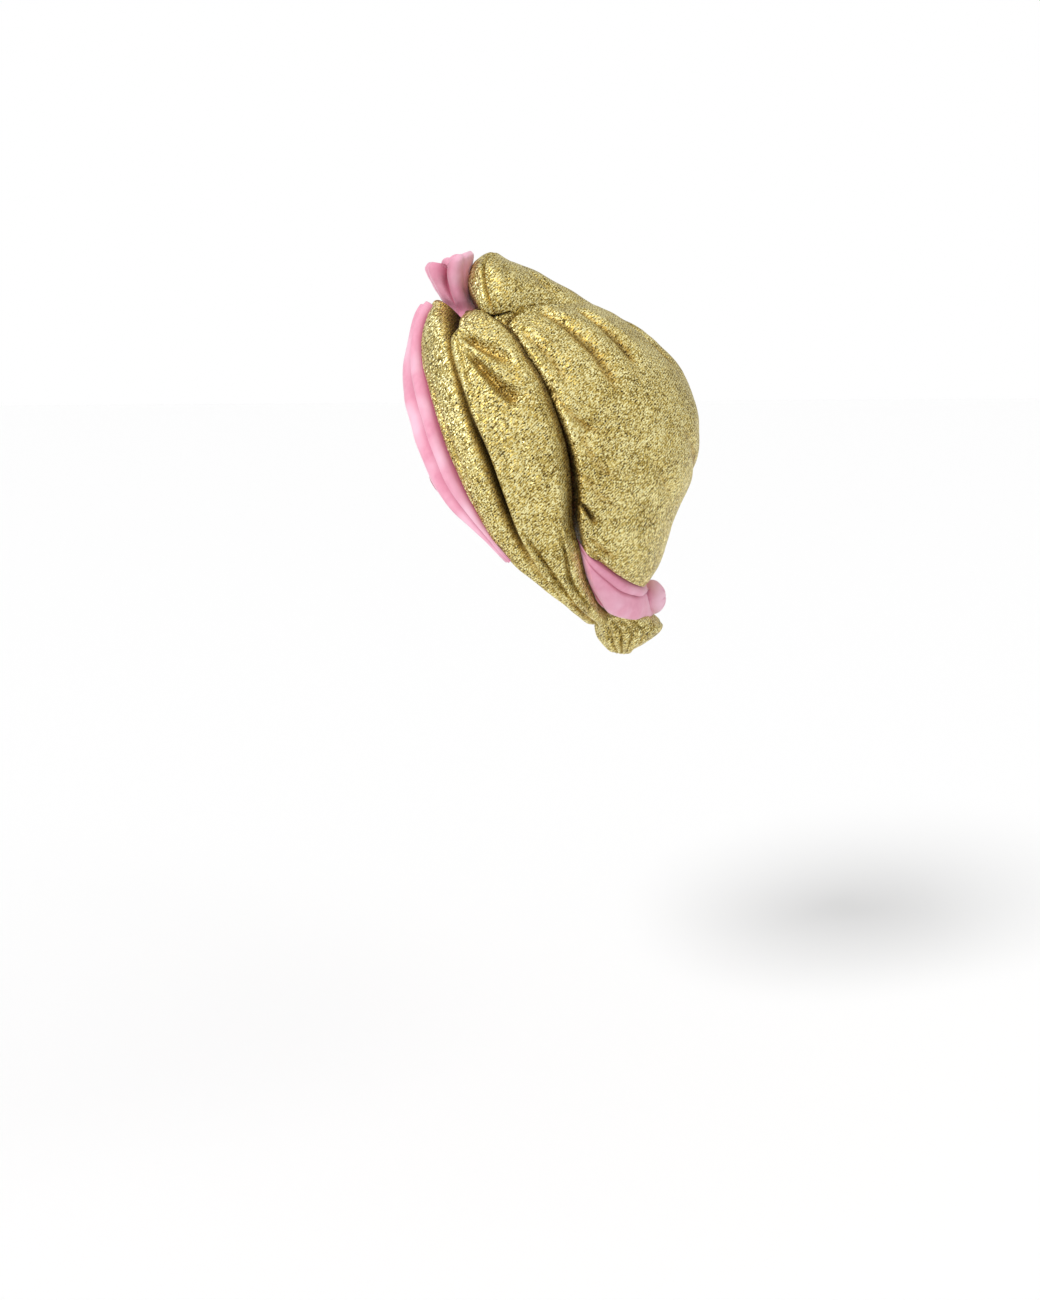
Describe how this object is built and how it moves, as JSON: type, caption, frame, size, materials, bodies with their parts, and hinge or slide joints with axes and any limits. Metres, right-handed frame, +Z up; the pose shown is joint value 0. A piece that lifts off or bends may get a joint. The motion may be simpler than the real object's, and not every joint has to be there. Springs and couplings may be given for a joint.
{
  "type": "turban",
  "caption": "Wrapped head turban with crossed side bands, turned-out velvet edges, a twisted front knot and a gathered nape tail.",
  "frame": {"origin": "middle of the head hollow where the wrap is widest, which is the seat on the head", "axes": "+X to the wearer's left, -Y the way the face looks, +Z up"},
  "size_m": [0.1842, 0.2049, 0.2832],
  "materials": {
    "gold_lame": "satin",
    "pink_velvet": "matte"
  },
  "bodies": {
    "root": {"crown": "gold_lame", "side_band_left": "gold_lame", "side_band_right": "gold_lame", "velvet_edge_left": "pink_velvet", "velvet_edge_right": "pink_velvet", "knot_gold_roll": "gold_lame", "knot_velvet_twist": "pink_velvet", "nape_velvet_roll": "pink_velvet", "nape_knot": "pink_velvet", "nape_tail": "gold_lame"}
  },
  "joints": []
}
